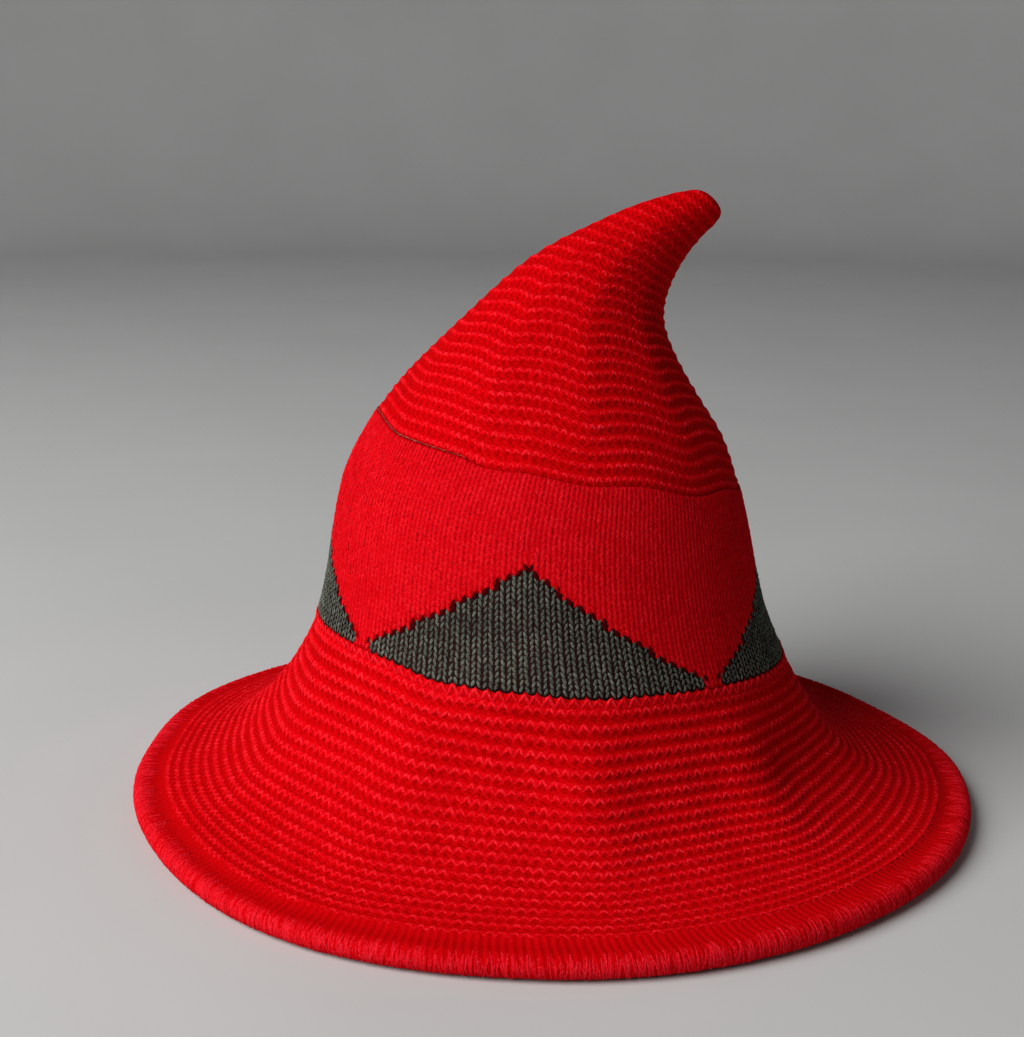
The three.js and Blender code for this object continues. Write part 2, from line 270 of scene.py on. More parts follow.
# Collects points, faces, yarn coordinates and the tone of each stitch for one piece.
class Pile:
    def __init__(self):
        self.points = []
        self.faces = []
        self.coordinates = []
        self.tones = []
        self.count = 0

    # Adds grids of points (grid, row, column), each closed along its rows and columns where asked.
    # u runs along the rows and v round the columns, each with one more value where that way closes.
    # Where scale is given, it multiplies v in each row of quads.
    def addGrids(self, points, u, v, tone, closeRows=False, closeColumns=False, scale=None):
        grids, rows, columns = points.shape[:3]
        index = self.count + np.arange(grids * rows * columns).reshape(grids, rows, columns)
        if closeRows:
            index = np.concatenate([index, index[:, :1]], axis=1)
        if closeColumns:
            index = np.concatenate([index, index[:, :, :1]], axis=2)
        across, along = np.meshgrid(v, u)
        place = np.broadcast_to(np.stack([along, across], axis=-1), index.shape + (2,))
        corners = (np.s_[:, :-1, :-1], np.s_[:, :-1, 1:], np.s_[:, 1:, 1:], np.s_[:, 1:, :-1])
        self.faces.append(np.stack([index[corner] for corner in corners], axis=-1).reshape(-1, 4))
        place = np.stack([place[corner] for corner in corners], axis=-2)
        if scale is not None:
            place[..., 1] *= np.asarray(scale)[None, :, None, None]
        self.coordinates.append(place.reshape(-1, 2))
        self.points.append(points.reshape(-1, 3))
        self.tones.append(np.broadcast_to(tone, (grids, rows, columns)).reshape(-1))
        self.count += grids * rows * columns
        return index

    # Adds faces over points that are there already.
    def addFaces(self, faces):
        self.faces.append(faces)
        self.coordinates.append(np.zeros((faces.size, 2)))

    # Adds beads with closed ends, each a grid whose rows are rings of four points.
    def addBeads(self, rings, u, tone):
        index = self.addGrids(rings, u, np.linspace(0, 1, 5), tone, False, True)
        self.addFaces(np.concatenate([index[:, 0, 3::-1], index[:, -1, 0:4]]))

    # Closes the end of a grid with triangles to one more point.
    def addFan(self, row, pole):
        self.points.append(pole[None])
        self.tones.append(np.full(1, plainTone))
        self.addFaces(np.stack([row[:-1], row[1:], np.full(len(row) - 1, self.count)], axis=-1))
        self.count += 1


# Turns a pile into a smooth piece that rides on the body and stands for its solids.
def makePiece(name, pile, material, slot, *nodes):
    points = np.concatenate(pile.points)
    corners = np.concatenate([faces.ravel() for faces in pile.faces])
    sizes = np.concatenate([np.full(len(faces), faces.shape[1]) for faces in pile.faces])
    mesh = bpy.data.meshes.new(name)
    mesh.vertices.add(len(points))
    mesh.vertices.foreach_set("co", (points * mm).astype(np.float32).ravel())
    mesh.loops.add(len(corners))
    mesh.loops.foreach_set("vertex_index", corners.astype(np.int32))
    mesh.polygons.add(len(sizes))
    mesh.polygons.foreach_set("loop_start", (np.cumsum(sizes) - sizes).astype(np.int32))
    mesh.polygons.foreach_set("use_smooth", np.ones(len(sizes), bool))
    mesh.update(calc_edges=True)
    # the sharp sides of a flat ring would otherwise darken all of it
    mesh.set_sharp_from_angle(angle=math.radians(sharpAngle))
    layer = mesh.uv_layers.new(name="yarn")
    layer.data.foreach_set("uv", np.concatenate(pile.coordinates).astype(np.float32).ravel())
    tone = mesh.attributes.new("tone", "FLOAT", "POINT")
    tone.data.foreach_set("value", np.concatenate(pile.tones).astype(np.float32))
    mesh.materials.append(material)
    piece = addObject(name, mesh)
    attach(piece, "root")
    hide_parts(*nodes)
    print(name, (sizes - 2).sum(), "triangles")


# Rings of points round each centre: radius times cos outward and sin sideways, across the path.
# Where flat is under 1, the rings are that much lower than wide.
def ringsAround(centre, along, out, radius, sides=4, flat=1):
    side = unit(np.cross(along, out))
    lift = flat * np.cross(side, unit(along))
    turn = np.arange(sides) * 2 * math.pi / sides
    across = np.cos(turn)[:, None] * lift[..., None, :] + np.sin(turn)[:, None] * side[..., None, :]
    return centre[..., None, :] + np.asarray(radius)[..., None, None] * across


# Stitches
wallSizes = {
    "rows": 6,  # rows of a wall to a ridge
    "nearest": 0.05,  # the least from either end to the next row, in ridges
    "innerRidge": 0.35,  # half the height of the ridges inside
}
threadSizes = {
    "samples": 8,  # points along a stitch
    "sides": 4,
    "loose": 0.16,  # how much arches, heights, places and thicknesses differ between stitches
    "lift": 0.08,
    "shift": 0.08,
    "bulk": 0.08,
    "drift": 0.035,  # unevenness of a whole ridge
    "stretchSink": 0.16,  # how far a thread sinks where there is no relief
    "footShade": 0.7,  # painted shade: how much a stitch darkens at its feet
    "archHighlight": 0.3,  # share of that by which its arch lightens, a painted highlight
    "fewest": 6,  # stitches in the smallest round
}
legSizes = {
    "along": (0, 0.34, 0.7, 1),  # places along a leg, and its thickness there
    "bulk": (0.5, 1, 0.97, 0.55),
    "climbSpread": 0.05,  # how much legs differ, in rows, wales, thicknesses and millimetres
    "turnSpread": 0.025,
    "bulkSpread": 0.05,
    "depthSpread": 0.06,
}


# Length of cloth at a ridge number: even steps, drawn together at the lower end and apart at the upper.
def ridgeLength(ridge, sizes):
    share = ridge / sizes["ridges"]
    return sizes["low"] + (sizes["high"] - sizes["low"]) * (share - sizes["crowd"] * share * (1 - share))


# Share of the full relief of the ridges: a table by angle times one by ridge number.
def reliefAt(ridge, angle, sizes):
    return valueAt(sizes["relief"], angle) * np.interp(ridge, *sizes["fade"])


# Depth of a ridged wall: a cosine with a crest under each thread and a crease halfway to the next,
# shallower where there is less relief.
def rollDepth(ridge, angle, sizes):
    across = np.cos(2 * math.pi * (ridge - sizes["level"]))
    relief = (sizes["crease"] - sizes["crest"]) * reliefAt(ridge, angle, sizes)
    return sizes["crest"] + relief * (1 - across) / 2


# Rows of a ridged wall by ridge number, evenly spaced, with one in every crease and at both ends.
def ridgeRows(sizes, end):
    each = wallSizes["rows"]
    inside = np.arange(-each, each * sizes["ridges"] + each) / each + sizes["level"] - 0.5
    clear = (inside > wallSizes["nearest"]) & (inside < end - wallSizes["nearest"])
    return np.concatenate([[0], inside[clear], [end]])


# Value that differs from stitch to stitch: a seeded number at the middle of each, and lines between.
def stitchSpread(place, count, middle, spread):
    return np.interp(place, np.arange(count) + 0.5, rng.normal(middle, spread, count), period=count)


# Thread along a ridge: it rises and falls once over each stitch as -cos, on the roll of the wall,
# and sinks into the wall at the foot of each stitch and where there is less relief.
def addThread(pile, ridge, count, start, sizes):
    samples, sides = threadSizes["samples"], threadSizes["sides"]
    place = np.arange(count * samples) / samples
    loose = stitchSpread(place, count, 1, threadSizes["loose"])
    lift = stitchSpread(place, count, 0, threadSizes["lift"])
    shift = stitchSpread(place, count, 0, threadSizes["shift"])
    angle = start + 360 * (place + shift) / count
    wave = np.cos(2 * math.pi * place)
    rise = ridge + sizes["level"] - sizes["arch"] * wave * loose
    depth = rollDepth(rise, angle, sizes) - sizes["proud"] + lift + sizes["foot"] * np.maximum(wave, 0)
    depth += threadSizes["stretchSink"] * (1 - reliefAt(rise, angle, sizes))
    drift = uneven(angle, threadSizes["drift"])
    point, out = clothFrame(ridgeLength(rise + drift, sizes), angle)
    centre = point - depth[:, None] * out
    along = np.roll(centre, -1, axis=0) - np.roll(centre, 1, axis=0)
    radius = sizes["strand"] * stitchSpread(place, count, 1, threadSizes["bulk"])
    rings = ringsAround(centre, along, out, radius, sides, sizes["flat"])
    # each stitch has its own tone, with painted shade at its feet and a painted highlight on its arch
    shade = threadSizes["footShade"] * np.maximum(wave, -threadSizes["archHighlight"])
    tone = np.repeat(rng.uniform(0, 1, count), samples) - shade
    u = np.arange(len(place) + 1) / samples
    pile.addGrids(rings[None], u, np.linspace(0, 1, sides + 1), tone[None, :, None], True, True)


# Stitches round a ridge: as many as its girth holds, in tens while there are ten sides.
def ridgeCount(length, width):
    angle = np.arange(0, 360, 5.0)
    ring = facePoint(np.full(len(angle), length), angle)
    girth = np.linalg.norm(ring - np.roll(ring, 1, axis=0), axis=1).sum()
    stitches = girth / width
    sectors = cloth["sectors"]
    if stitches > 1.5 * sectors:
        return sectors * int(round(stitches / sectors))
    return max(threadSizes["fewest"], int(round(stitches)))


# Legs of plain knitting: each stitch is a V of two beads that start near its middle,
# spread as they rise and end under the stitch above. Each leg has its own tone.
def addLegs(pile, length, angle, row, wale, width, sizes, tone):
    t = np.array(legSizes["along"])
    side = np.array([-1, 1])[:, None]
    reach = side * wale * (sizes["inner"] + (sizes["outer"] - sizes["inner"]) * t)
    climb = row * (sizes["start"] + (sizes["end"] - sizes["start"]) * t)
    jitter = rng.normal(0, 1, (len(length), 2, 1, 3))
    runs = length[:, None, None] + climb[None, None, :] + legSizes["climbSpread"] * row * jitter[..., 0]
    turns = angle[:, None, None] + reach[None] + legSizes["turnSpread"] * wale * jitter[..., 1]
    bulk = sizes["thick"] * (1 + legSizes["bulkSpread"] * jitter[..., 2])
    radius = width[:, None, None] * np.array(legSizes["bulk"]) * bulk
    point, out = clothFrame(runs, turns)
    depth = width[:, None, None] * sizes["thick"] * sizes["flat"] + np.array(sizes["sink"])
    depth = depth + legSizes["depthSpread"] * jitter[..., 0]
    centre = point - depth[..., None] * out
    along = np.gradient(centre, axis=2)
    rings = ringsAround(centre, along, out, radius, flat=sizes["flat"])
    pile.addBeads(rings.reshape((-1,) + rings.shape[2:]), t, tone.reshape(-1)[:, None, None])


print("stitches done")


# Materials
# Links a socket to another one, or sets its value.
def setSocket(tree, socket, value):
    if isinstance(value, bpy.types.NodeSocket):
        tree.links.new(value, socket)
    else:
        socket.default_value = value


# Adds a node with its settings, and links or sets its sockets by name.
def addNode(tree, kind, **values):
    node = tree.nodes.new(kind)
    for name, value in values.items():
        if name in node.inputs:
            setSocket(tree, node.inputs[name], value)
        else:
            setattr(node, name, value)
    return node


# Adds a math node over two sockets or numbers.
def addMath(tree, operation, first, second):
    node = addNode(tree, "ShaderNodeMath", operation=operation)
    setSocket(tree, node.inputs[0], first)
    setSocket(tree, node.inputs[1], second)
    return node.outputs[0]


# Noise over the object.
def addNoise(tree, scale, **values):
    place = addNode(tree, "ShaderNodeTexCoord").outputs["Object"]
    return addNode(tree, "ShaderNodeTexNoise", Vector=place, Scale=scale, **values).outputs["Fac"]


# Ramp over a value, with a colour at each of its places.
def addRamp(tree, value, places, colours):
    ramp = addNode(tree, "ShaderNodeValToRGB", Fac=value)
    elements = ramp.color_ramp.elements
    elements[0].position = places[0]
    elements[1].position = places[-1]
    for place in places[1:-1]:
        elements.new(place)
    for element, colour in zip(elements, colours):
        element.color = (*colour, 1)
    return ramp.outputs["Color"]


# Material with its node tree and its shader, whose sockets are set by name.
def makeMaterial(name, sockets):
    material = bpy.data.materials.new(name)
    material.use_nodes = True
    shader = material.node_tree.nodes["Principled BSDF"]
    for socket, value in sockets.items():
        shader.inputs[socket].default_value = value
    return material, material.node_tree, shader


# Empty node group with a number for each output.
def makeGroup(name, *outputs):
    tree = bpy.data.node_groups.new(name, "ShaderNodeTree")
    for output in outputs:
        tree.interface.new_socket(output, in_out="OUTPUT", socket_type="NodeSocketFloat")
    return tree


# The two yarn coordinates of a point.
def addYarnPlace(tree):
    yarn = addNode(tree, "ShaderNodeUVMap", uv_map="yarn")
    split = addNode(tree, "ShaderNodeSeparateXYZ", Vector=yarn.outputs["UV"])
    return split.outputs["X"], split.outputs["Y"]


woolSizes = {
    "fibreScale": 1200,
    "patchScale": 45,
    "twist": 3,  # turns of the plies along a stitch
    "fibreShade": 1.3,
    "patchShade": 0.25,
    # painted light and shade along the twist of the plies
    "plyShade": 0.07,
    "plyHeight": 0.25,
}


# Wool: fine fibres and broad unevenness from noise over the object, and plies twisted along the yarn.
# Shade is about 0.5 with fibres and with painted light and shade along the plies, Height is for a bump, and
# Plies runs from -1 to 1.
def makeWool(sizes):
    tree = makeGroup("wool", "Shade", "Height", "Plies")
    fine = addNoise(tree, sizes["fibreScale"], Detail=2, Roughness=0.6)
    broad = addNoise(tree, sizes["patchScale"], Detail=2, Roughness=0.5)
    along, around = addYarnPlace(tree)
    twist = addMath(tree, "ADD", addMath(tree, "MULTIPLY", along, sizes["twist"]), around)
    plies = addMath(tree, "SINE", addMath(tree, "MULTIPLY", twist, 2 * math.pi), 0)
    fibres = addMath(tree, "SUBTRACT", fine, 0.5)
    patches = addMath(tree, "SUBTRACT", broad, 0.5)
    height = addMath(tree, "ADD", addMath(tree, "MULTIPLY", plies, sizes["plyHeight"]), fibres)
    fibreShade = addMath(tree, "MULTIPLY", fibres, sizes["fibreShade"])
    patchShade = addMath(tree, "MULTIPLY", patches, sizes["patchShade"])
    shade = addMath(tree, "ADD", fibreShade, patchShade)
    shade = addMath(tree, "ADD", shade, addMath(tree, "MULTIPLY", plies, sizes["plyShade"]))
    shade = addMath(tree, "ADD", shade, 0.5)
    addNode(tree, "NodeGroupOutput", Shade=shade, Height=height, Plies=plies)
    return tree


wool = makeWool(woolSizes)


# Bell over a value: 1 - ((value - middle) / reach)^2, and 0 beyond the reach.
def addBell(tree, value, middle, reach):
    away = addMath(tree, "DIVIDE", addMath(tree, "SUBTRACT", value, middle), reach)
    return addMath(tree, "MAXIMUM", addMath(tree, "SUBTRACT", 1, addMath(tree, "MULTIPLY", away, away)), 0)


pocketShadingSizes = {
    "hollow": 0.8,  # strength of each mark: painted shade in hollows and creases, painted highlight on crests
    "crease": 0.42,
    "crest": 0.4,
    "hollowAlong": (0.5, 0.42),  # middle and reach of each bell, along a stitch or across a ridge
    "hollowAcross": (0.22, 0.3),
    "crestAcross": (0.56, 0.26),
    "creaseReach": 0.2,
}


# Painted light of ridged knitting: painted shade in a hollow under the arch of each stitch and in a crease
# between ridges, and a painted highlight on the crest of each. Dark also serves as a bump height.
# Ridges are counted along the first yarn coordinate and stitches along the second.
def makePocketShading(sizes):
    tree = makeGroup("pocketShading", "Dark")
    ridges, stitches = addYarnPlace(tree)
    ridge = addMath(tree, "FRACT", ridges, 0)
    stitch = addMath(tree, "FRACT", stitches, 0)
    along = addBell(tree, stitch, *sizes["hollowAlong"])
    across = addBell(tree, ridge, *sizes["hollowAcross"])
    hollow = addMath(tree, "MULTIPLY", addMath(tree, "MULTIPLY", along, across), sizes["hollow"])
    lower = addBell(tree, ridge, 0, sizes["creaseReach"])
    upper = addBell(tree, ridge, 1, sizes["creaseReach"])
    crease = addMath(tree, "MULTIPLY", addMath(tree, "MAXIMUM", lower, upper), sizes["crease"])
    crest = addMath(tree, "MULTIPLY", addBell(tree, ridge, *sizes["crestAcross"]), sizes["crest"])
    dark = addMath(tree, "MAXIMUM", hollow, crease)
    addNode(tree, "NodeGroupOutput", Dark=addMath(tree, "SUBTRACT", dark, crest))
    return tree


pocketShading = makePocketShading(pocketShadingSizes)

yarnSockets = {"Roughness": 0.9, "Specular IOR Level": 0.01, "Sheen Roughness": 0.4}
yarnSizes = {
    "toneShade": 0.24,  # how far a stitch's tone moves its shade
    "toneMiddle": 0.12,  # what is taken off again, so that a tone of 0.5 moves nothing
    # how much the painted pocket shade darkens a ridged wall
    "pocketShade": 0.36,
    "pocketHeight": 1.2,
    "ribHeight": 3,  # height of a rib to its shade
    "bumpDistance": 0.0004,
    "ramp": (0.1, 0.5, 0.9),
    "edge": (0.05, 0.001, 0.002, 1),  # painted shade: colour of the stitches beside the panels
}
redTint = (1, 0.06, 0.08, 1)


# Yarn material: a ramp over the wool's shade plus the stitch's own tone, with fibre bump and sheen.
# Edge stitches, by their tone, turn to the dark edge colour, painted shade beside the panels. A ridged wall
# takes painted shade in its pockets and a painted highlight on its crests, and ribs paint light and shade
# along its plies.
def makeYarn(name, sheen, tint=redTint, bumps=0.5, ridged=False, ribs=0):
    sockets = dict(yarnSockets, **{"Sheen Weight": sheen, "Sheen Tint": tint})
    material, tree, shader = makeMaterial(name, sockets)
    group = addNode(tree, "ShaderNodeGroup", node_tree=wool)
    tone = addNode(tree, "ShaderNodeAttribute", attribute_name="tone").outputs["Fac"]
    own = addMath(tree, "MULTIPLY", addMath(tree, "MINIMUM", tone, 1), yarnSizes["toneShade"])
    shade = addMath(tree, "SUBTRACT", group.outputs["Shade"], yarnSizes["toneMiddle"])
    shade = addMath(tree, "ADD", shade, own)
    height = group.outputs["Height"]
    if ridged:
        # painted shade in the hollows and creases and a painted highlight on the crests, which also bumps
        # the wall
        dark = addNode(tree, "ShaderNodeGroup", node_tree=pocketShading).outputs["Dark"]
        shade = addMath(tree, "SUBTRACT", shade, addMath(tree, "MULTIPLY", dark, yarnSizes["pocketShade"]))
        hollow = addMath(tree, "MULTIPLY", dark, yarnSizes["pocketHeight"])
        height = addMath(tree, "SUBTRACT", height, hollow)
    if ribs:
        rise = addMath(tree, "MULTIPLY", group.outputs["Plies"], yarnSizes["ribHeight"] * ribs)
        # ribs also paint light and shade along the plies
        shade = addMath(tree, "ADD", shade, addMath(tree, "MULTIPLY", group.outputs["Plies"], ribs))
        height = addMath(tree, "ADD", height, rise)
    plain = addRamp(tree, shade, yarnSizes["ramp"], yarnColours[name])
    # edge stitches take the dark edge colour, painted shade beside the panels
    edgeShaded = addMath(tree, "GREATER_THAN", tone, edgeShadeTone - 0.5)
    mix = addNode(tree, "ShaderNodeMix", data_type="RGBA", Factor=edgeShaded, A=plain, B=yarnSizes["edge"])
    tree.links.new(mix.outputs["Result"], shader.inputs["Base Color"])
    reach = yarnSizes["bumpDistance"]
    bump = addNode(tree, "ShaderNodeBump", Strength=bumps, Distance=reach, Height=height)
    tree.links.new(bump.outputs["Normal"], shader.inputs["Normal"])
    return material


# redPlain is the yarn's own red; the others are lit and shaded copies of it: the threads and the fringe
# lighter and pinker, a painted highlight, and the ridged walls, the band wall and loops and the hem core
# darker, painted shade between the stitches.
yarnColours = {
    "redThreadLit": ((0.48, 0.001, 0.003), (0.7, 0.005, 0.011), (0.88, 0.024, 0.036)),
    "redPlain": ((0.46, 0.001, 0.003), (0.59, 0.003, 0.008), (0.72, 0.01, 0.018)),
    "redRidgedShaded": ((0.3, 0.0002, 0.0008), (0.55, 0.0006, 0.002), (0.7, 0.002, 0.006)),
    "redBandShaded": ((0.4, 0.0006, 0.002), (0.49, 0.001, 0.003), (0.58, 0.002, 0.006)),
    "redHemShaded": ((0.4, 0.0004, 0.001), (0.5, 0.0006, 0.002), (0.6, 0.0012, 0.004)),
    "redFringeLit": ((0.56, 0.002, 0.006), (0.68, 0.008, 0.017), (0.8, 0.026, 0.042)),
    "seamYarn": ((0.14, 0.008, 0.007), (0.28, 0.03, 0.024), (0.5, 0.14, 0.11)),
    "greyYarn": ((0.022, 0.024, 0.019), (0.078, 0.083, 0.066), (0.17, 0.182, 0.147)),
    # near black with a red cast: painted shade between the panels' stitches and past their edges
    "greyShadeWall": ((0.008, 0.004, 0.003), (0.018, 0.008, 0.007), (0.045, 0.008, 0.008)),
}
redThreadLit = makeYarn("redThreadLit", 0.015)
redPlain = makeYarn("redPlain", 0.015, bumps=0.2)
redRidgedShaded = makeYarn("redRidgedShaded", 0.01, ridged=True)
redBandShaded = makeYarn("redBandShaded", 0.01, bumps=0.2)
redHemShaded = makeYarn("redHemShaded", 0.01, ribs=0.06)
redFringeLit = makeYarn("redFringeLit", 0.05)
seamYarn = makeYarn("seamYarn", 0.01)
greyYarn = makeYarn("greyYarn", 0.01, tint=(0.9, 0.95, 0.85, 1))
greyShadeWall = makeYarn("greyShadeWall", 0.02, tint=(1, 0.6, 0.6, 1))
print("materials done")


# Walls
# Even columns all round, with one on every corner.
def evenAngles(columns):
    return cloth["sectorTurn"] + np.arange(columns) * 360 / columns


# Points of the two sides of a ridged wall: the outer one as the roll goes, down to its deepest,
# and the inner one as a cosine ridge at half the pitch.
def wallSides(outer, inner, deepest, sizes):
    angle = evenAngles(sizes["columns"])
    outerDepth = np.minimum(rollDepth(outer[:, None], angle, sizes), deepest[:, None])
    innerDepth = sizes["wall"] - wallSizes["innerRidge"] * (1 + np.cos(4 * math.pi * inner[:, None]))
    sides = ((outer, outerDepth), (inner, innerDepth))
    return [clothPoint(ridgeLength(rows, sizes)[:, None], angle, depth) for rows, depth in sides]


# Stitches round the ridge that each row of quads of a wall lies on.
def rowCounts(u, counts):
    middle = np.floor((u[:-1] + u[1:]) / 2).astype(int)
    return counts[np.clip(middle, 0, len(counts) - 1)]


# Brim
brimSizes = {
    "ridges": 20,
    "crowd": 0.17,
    "low": 0,
    "high": jointLength - cloth["seamGap"] / 2,
    "wall": 4.0,  # depths of the inner side, and of the crests and creases of the outer one
    "crest": 0.5,
    "crease": 1.12,
    "relief": np.array([[-180, 0.8], [-90, 1], [25, 1], [62, 0.45], [120, 0.45], [180, 0.8]]),  # by angle
    "fade": ((0, 8), (0.25, 1)),  # by ridge
    "strand": 0.52,
    "flat": 0.62,
    "proud": -0.06,  # how far a thread stands over the wall
    "foot": 0.08,  # how much deeper its feet lie
    "level": 0.12,  # where in its ridge it runs
    "arch": 0.19,  # how far it rises and falls, in ridges
    "topStitch": 3.85,
    "edgeStitch": 3.8,
    "columns": 160,
    "innerRows": 4,  # rows of the inner side to a ridge
    "topDepth": 0.7,  # the most that the wall sinks over the last thread
    "lowerThreads": 9,  # threads in the lower piece
    "jointRidge": 19.62,  # ridge number of the thread over the loops
}
jointThread = dict(brimSizes, proud=0.55, arch=0.26, strand=0.56)
loopSizes = {
    "count": 132,
    "low": -4,  # ends of a loop, from the joint
    "high": 1.4,
    "along": (0, 0.3, 0.7, 1),  # places along a loop, and its depth and thickness there
    "depths": (1.4, 0.95, 0.8, 0.8),
    "bulk": (0.8, 1, 0.95, 0.3),
    "radius": 2.15,
    "flat": 0.26,
    "spread": 0.06,  # how much loops differ in place and size
}


# Wall of the brim, up its outer side and down its inner one, with a thread on every ridge.
def makeBrim(sizes, jointSizes):
    middles = np.arange(sizes["ridges"]) + sizes["level"]
    share = (middles / sizes["ridges"]) ** 3
    widths = sizes["edgeStitch"] + (sizes["topStitch"] - sizes["edgeStitch"]) * share
    counts = np.array([ridgeCount(at, width) for at, width in zip(ridgeLength(middles, sizes), widths)])
    outer = ridgeRows(sizes, sizes["ridges"])
    inner = np.linspace(sizes["ridges"], 0, sizes["innerRows"] * sizes["ridges"] + 1)
    # the wall stays full over the last thread, where the loops are
    top = sizes["ridges"] - 1 + sizes["level"]
    deepest = np.where(outer > top, sizes["topDepth"], sizes["crease"])
    points = np.concatenate(wallSides(outer, inner, deepest, sizes))
    u = np.minimum(np.concatenate([outer, inner, [0]]), top) - sizes["level"] + 0.5
    turns = np.linspace(0, 1, sizes["columns"] + 1)
    wall = Pile()
    wall.addGrids(points[None], u, turns, plainTone, True, True, rowCounts(u, counts))
    makePiece("brim_wall", wall, redRidgedShaded, "red_ridged", "brim")
    lower, upper = Pile(), Pile()
    for k, count in enumerate(counts):
        addThread(lower if k < sizes["lowerThreads"] else upper, k, count, cloth["sectorTurn"], sizes)
    # one more runs over the loops, with its arches between the stitches of the band
    addThread(upper, sizes["jointRidge"], loopSizes["count"], cloth["panelTurn"], jointSizes)
    makePiece("brim_threads_lower", lower, redThreadLit, "red_ridged", "brim")
    makePiece("brim_threads_upper", upper, redThreadLit, "red_ridged", "brim")


# Loops over the joint: flat beads that stand between the stitches of the band, in the darker wall red,
# painted shade.
def makeLoops(sizes):
    count = sizes["count"]
    t = np.array(sizes["along"])
    shift = rng.normal(0, sizes["spread"], count)
    turn = cloth["panelTurn"] + (np.arange(count) + 0.5 + shift) * 360 / count
    size = rng.normal(1, sizes["spread"], count)[:, None]
    run = jointLength + (sizes["low"] + (sizes["high"] - sizes["low"]) * t) * size
    point, out = clothFrame(run, turn[:, None])
    centre = point - np.array(sizes["depths"])[:, None] * out
    radius = sizes["radius"] * size * np.array(sizes["bulk"])
    rings = ringsAround(centre, np.gradient(centre, axis=1), out, radius, flat=sizes["flat"])
    loops = Pile()
    loops.addBeads(rings, t, rng.uniform(0, 1, count)[:, None, None])
    makePiece("brim_loops", loops, redBandShaded, "red_ridged", "brim")


makeBrim(brimSizes, jointThread)
makeLoops(loopSizes)

# Peak
peakSizes = {
    "ridges": 28,
    "crowd": 0.12,
    "low": purlLength + cloth["seamGap"] / 2,
    "high": tipLength,
    "wall": 4.0,
    "crest": 0.5,
    "crease": 1.1,
    "relief": np.array([[-180, 0.7], [-100, 0.45], [-45, 1], [35, 1], [80, 0.6], [180, 0.7]]),  # by angle
    "fade": ((15, 24), (1, 0.25)),  # by ridge
    "strand": 0.54,
    "flat": 0.62,
    "proud": -0.14,
    "foot": 0.36,
    "level": 0.4,
    "arch": 0.17,
    "stitch": 3.3,
    "columns": 100,
    "innerRows": 3,  # rows of the inner side to a ridge
    "topGap": 0.2,  # from the last row to the tip, in ridges
    "deepest": 0.6,  # the most that the wall sinks, as a share of its radius
}
seamSizes = {
    "points": 90,
    "from": -112,  # angles of its ends
    "to": -26,
    "ridge": 0.06,
    "waves": 45,
    "rise": 0.04,  # of a wave, in ridges
    "depth": 0.6,
    "sink": 13,  # how much deeper it lies for each ridge that it rises
    "radius": 0.3,
    "end": 0.04,  # share of half a turn of the sine that its thickness leaves out at each end
    "taper": 0.4,
    "plies": 20,
}


# Wall of the peak, from the end of its hollow down the inner side and up the outer one to the tip,
# with a thread on every ridge.
def makePeak(sizes):
    middles = np.arange(sizes["ridges"]) + sizes["level"]
    counts = np.array([ridgeCount(at, sizes["stitch"]) for at in ridgeLength(middles, sizes)])
    share = (hollowLength - sizes["low"]) / (sizes["high"] - sizes["low"])
    inner = np.linspace(share * sizes["ridges"], 0, sizes["innerRows"] * sizes["ridges"])
    outer = ridgeRows(sizes, sizes["ridges"] - sizes["topGap"])
    deepest = sizes["deepest"] * roundAt(ridgeLength(outer, sizes))[:, radiusColumn]
    points = np.concatenate(wallSides(outer, inner, deepest, sizes)[::-1])
    u = np.concatenate([inner, outer]) - sizes["level"] + 0.5
    turns = np.linspace(0, 1, sizes["columns"] + 1)
    wall = Pile()
    index = wall.addGrids(points[None], u, turns, plainTone, False, True, rowCounts(u, counts))
    wall.addFan(index[0, -1], points[-1].mean(axis=0))
    wall.addFan(index[0, 0, ::-1], points[0].mean(axis=0))
    makePiece("peak_wall", wall, redRidgedShaded, "red_ridged", "peak")
    threads = Pile()
    for k, count in enumerate(counts):
        addThread(threads, k, count, cloth["sectorTurn"], sizes)
    makePiece("peak_threads", threads, redThreadLit, "red_ridged", "peak")


# Dark thread along the left of the seam: a cosine wave in and out, thinner towards its ends.
def makeSeam(sizes, peak):
    t = np.linspace(0, 1, sizes["points"])
    angle = sizes["from"] + (sizes["to"] - sizes["from"]) * t
    wave = sizes["rise"] * np.cos(2 * math.pi * sizes["waves"] * t)
    point, out = clothFrame(ridgeLength(sizes["ridge"] + wave, peak), angle)
    centre = point - (sizes["depth"] + sizes["sink"] * wave)[:, None] * out
    half = math.pi * (sizes["end"] + (1 - 2 * sizes["end"]) * t)
    radius = sizes["radius"] * np.sin(half) ** sizes["taper"]
    rings = ringsAround(centre, np.gradient(centre, axis=0), out, radius)
    seam = Pile()
    seam.addBeads(rings[None], sizes["plies"] * t, rng.uniform(0, 1, (1, len(t), 1)))
    makePiece("peak_seam", seam, seamYarn, "red_ridged", "peak")


makePeak(peakSizes)
makeSeam(seamSizes, peakSizes)

# Band and panels
bandSizes = {
    "wales": 132,
    "rows": 36,
    "wall": 3.0,
    "under": 0.24,
    "inner": 0.12,
    "outer": 0.4,
    "start": -0.35,
    "end": 1.2,
    "thick": 0.17,
    "flat": 0.34,
    "sink": (0.14, 0, 0.04, 0.24),
    "spareRow": 0.6,  # part of a row that is left free at the top
    "shadow": 2.8,  # how far the dark back of a panel shows past its edge, as painted shade
    "inset": 1.4,  # from the corner of a panel to the next column of the wall, in degrees
    "columns": 25,  # of the wall along a panel
    "levels": 13,  # rows of points on one side of the wall
}
